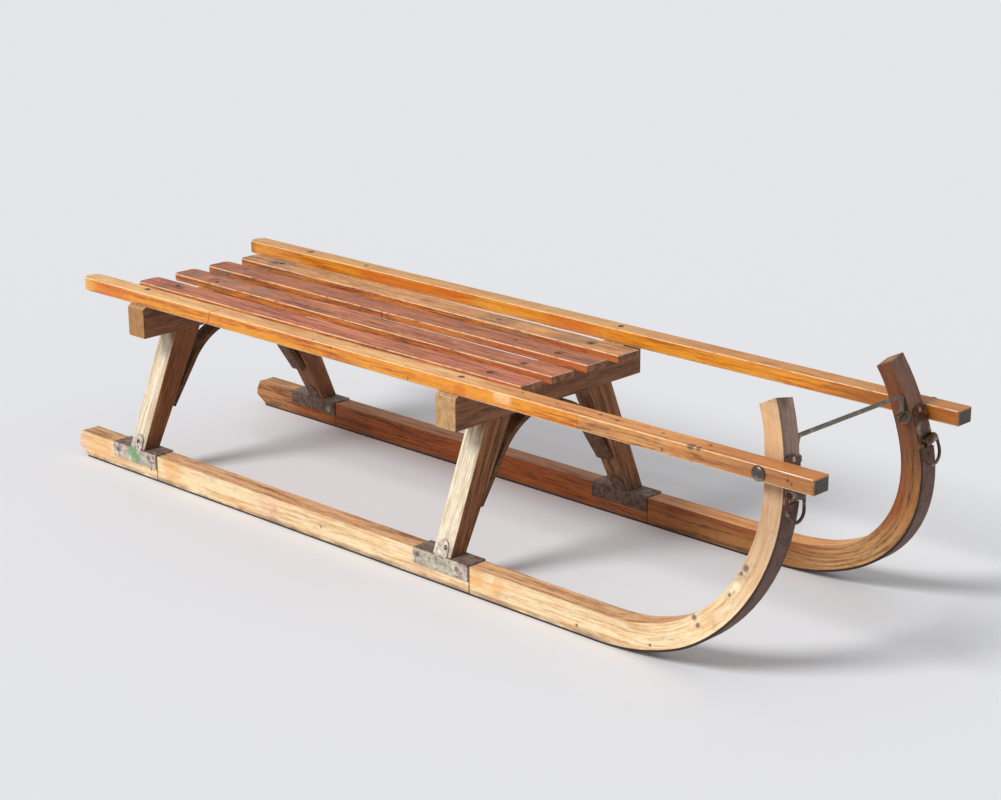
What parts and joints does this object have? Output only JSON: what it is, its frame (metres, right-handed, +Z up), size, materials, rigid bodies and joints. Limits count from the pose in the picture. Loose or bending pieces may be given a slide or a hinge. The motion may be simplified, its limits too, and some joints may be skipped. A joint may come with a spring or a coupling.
{
  "type": "wooden sled",
  "caption": "Slatted wooden sled with bent runners, iron shoes, splayed legs with bentwood bows, side rails, a front cross rod and swinging tow rings.",
  "frame": {"origin": "centre of the bounding box at floor level, half way along the sled on its middle line", "axes": "+X forward, towards the bent runner tips; +Y to the sled's left; +Z up from the floor"},
  "size_m": [1.269, 0.3636, 0.3213],
  "materials": {
    "rail_wood": "varnished, worn honey-orange",
    "slat_wood": "faded red-brown stain",
    "runner_wood": "pale bent wood, worn varnish",
    "leg_wood": "pale, weathered",
    "beam_wood": "brown, weathered",
    "bow_wood": "dark brown, weathered",
    "shoe_iron": "dark iron, rusty",
    "saddle_steel": "pitted grey sheet steel with rust and old green paint traces",
    "strap_iron": "dark brown-black iron",
    "ring_iron": "dark iron, worn bright on the edges",
    "rod_iron": "dark grey iron",
    "bolt_steel": "dull grey-brown steel"
  },
  "bodies": {
    "sled": {"runner_right": "runner_wood", "runner_shoe_right": "shoe_iron", "runner_left": "runner_wood", "runner_shoe_left": "shoe_iron", "beam_front": "beam_wood", "bow_front": "bow_wood", "leg_front_right": "leg_wood", "saddle_front_right": "saddle_steel", "leg_front_left": "leg_wood", "saddle_front_left": "saddle_steel", "beam_rear": "beam_wood", "bow_rear": "bow_wood", "leg_rear_right": "leg_wood", "saddle_rear_right": "saddle_steel", "leg_rear_left": "leg_wood", "saddle_rear_left": "saddle_steel", "rail_right": "rail_wood", "rail_left": "rail_wood", "slat_1": "slat_wood", "slat_2": "slat_wood", "slat_3": "slat_wood", "slat_4": "slat_wood", "cross_rod": "rod_iron", "rail_bolt_right": "bolt_steel", "rail_nut_right": "bolt_steel", "tow_strap_right": "strap_iron", "rail_bolt_left": "bolt_steel", "rail_nut_left": "bolt_steel", "tow_strap_left": "strap_iron"},
    "right_ring": {"tow_ring_right": "ring_iron"},
    "left_ring": {"tow_ring_left": "ring_iron"}
  },
  "joints": [
    {"name": "right_ring_hinge", "type": "hinge", "parent": "sled", "child": "right_ring", "pos_m": [0.58346, -0.12699, 0.22182], "axis": [-0.0396, -0.9774, 0.2077], "range_deg": [0, 90]},
    {"name": "left_ring_hinge", "type": "hinge", "parent": "sled", "child": "left_ring", "pos_m": [0.58346, 0.12699, 0.22182], "axis": [0.0396, -0.9774, -0.2077], "range_deg": [0, 90]}
  ]
}
